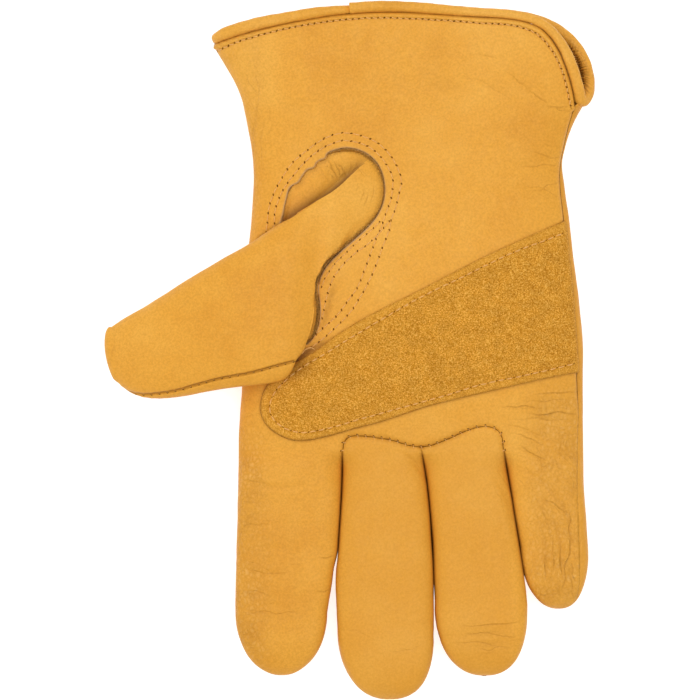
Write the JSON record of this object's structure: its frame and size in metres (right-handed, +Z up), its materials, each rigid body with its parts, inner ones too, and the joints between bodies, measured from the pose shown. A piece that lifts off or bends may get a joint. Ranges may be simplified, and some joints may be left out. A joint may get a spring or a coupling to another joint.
{
  "type": "leather driver glove",
  "caption": "Right-hand leather driver glove lying palm up, with a set-in thumb, a suede palm patch and a bound, slit cuff.",
  "frame": {"origin": "on the table the glove lies on, under the middle of the whole glove", "axes": "+Y from the fingertips to the cuff, +X from the thumb side to the little-finger side, +Z up, out of the palm"},
  "size_m": [0.176, 0.2508, 0.032],
  "materials": {
    "leather": "smooth golden-tan grain leather with a fine pebble grain",
    "suede": "napped suede, mottled, a little darker and browner",
    "binding": "thin rolled grain leather",
    "thread": "pale peach sewing thread"
  },
  "bodies": {
    "root": {"palm": "leather", "middle_finger_front": "leather", "ring_finger_front": "leather", "back": "leather", "thumb": "leather", "palm_patch": "suede", "cuff_binding": "binding"}
  },
  "joints": []
}
